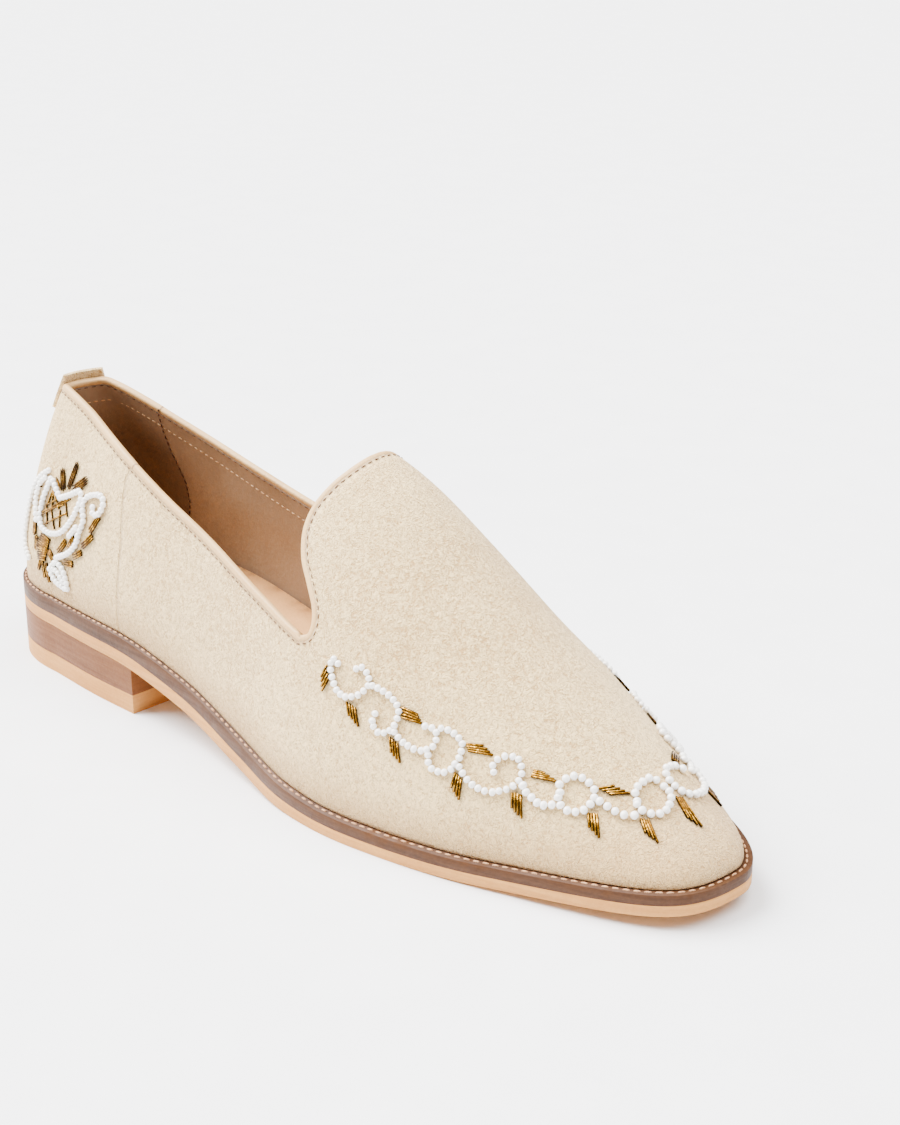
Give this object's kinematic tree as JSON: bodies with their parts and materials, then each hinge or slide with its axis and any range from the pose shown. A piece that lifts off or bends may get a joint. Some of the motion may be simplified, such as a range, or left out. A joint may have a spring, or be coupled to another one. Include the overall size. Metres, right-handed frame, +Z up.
{
  "type": "embellished loafer",
  "caption": "Right slip-on suede loafer with a rounded tongue, bound collar, beaded vamp and heel crest, welted leather sole and low stacked heel.",
  "frame": {"origin": "centre of the shoe's footprint on the floor", "axes": "+X from heel to toe, +Y to the wearer's left (inner side), +Z up; the shoe stands on the floor z = 0"},
  "size_m": [0.2934, 0.0956, 0.0955],
  "materials": {
    "suede": "matt",
    "binding_leather": "satin",
    "sock_leather": "satin",
    "welt_leather": "satin",
    "natural_leather": "matt",
    "stack_leather": "satin"
  },
  "bodies": {
    "root": {"outsole": "natural_leather", "welt": "welt_leather", "heel_stack": "stack_leather", "heel_top_lift": "natural_leather", "insole": "sock_leather", "upper": "suede", "collar_binding": "binding_leather", "heel_tab": "suede"}
  },
  "joints": []
}
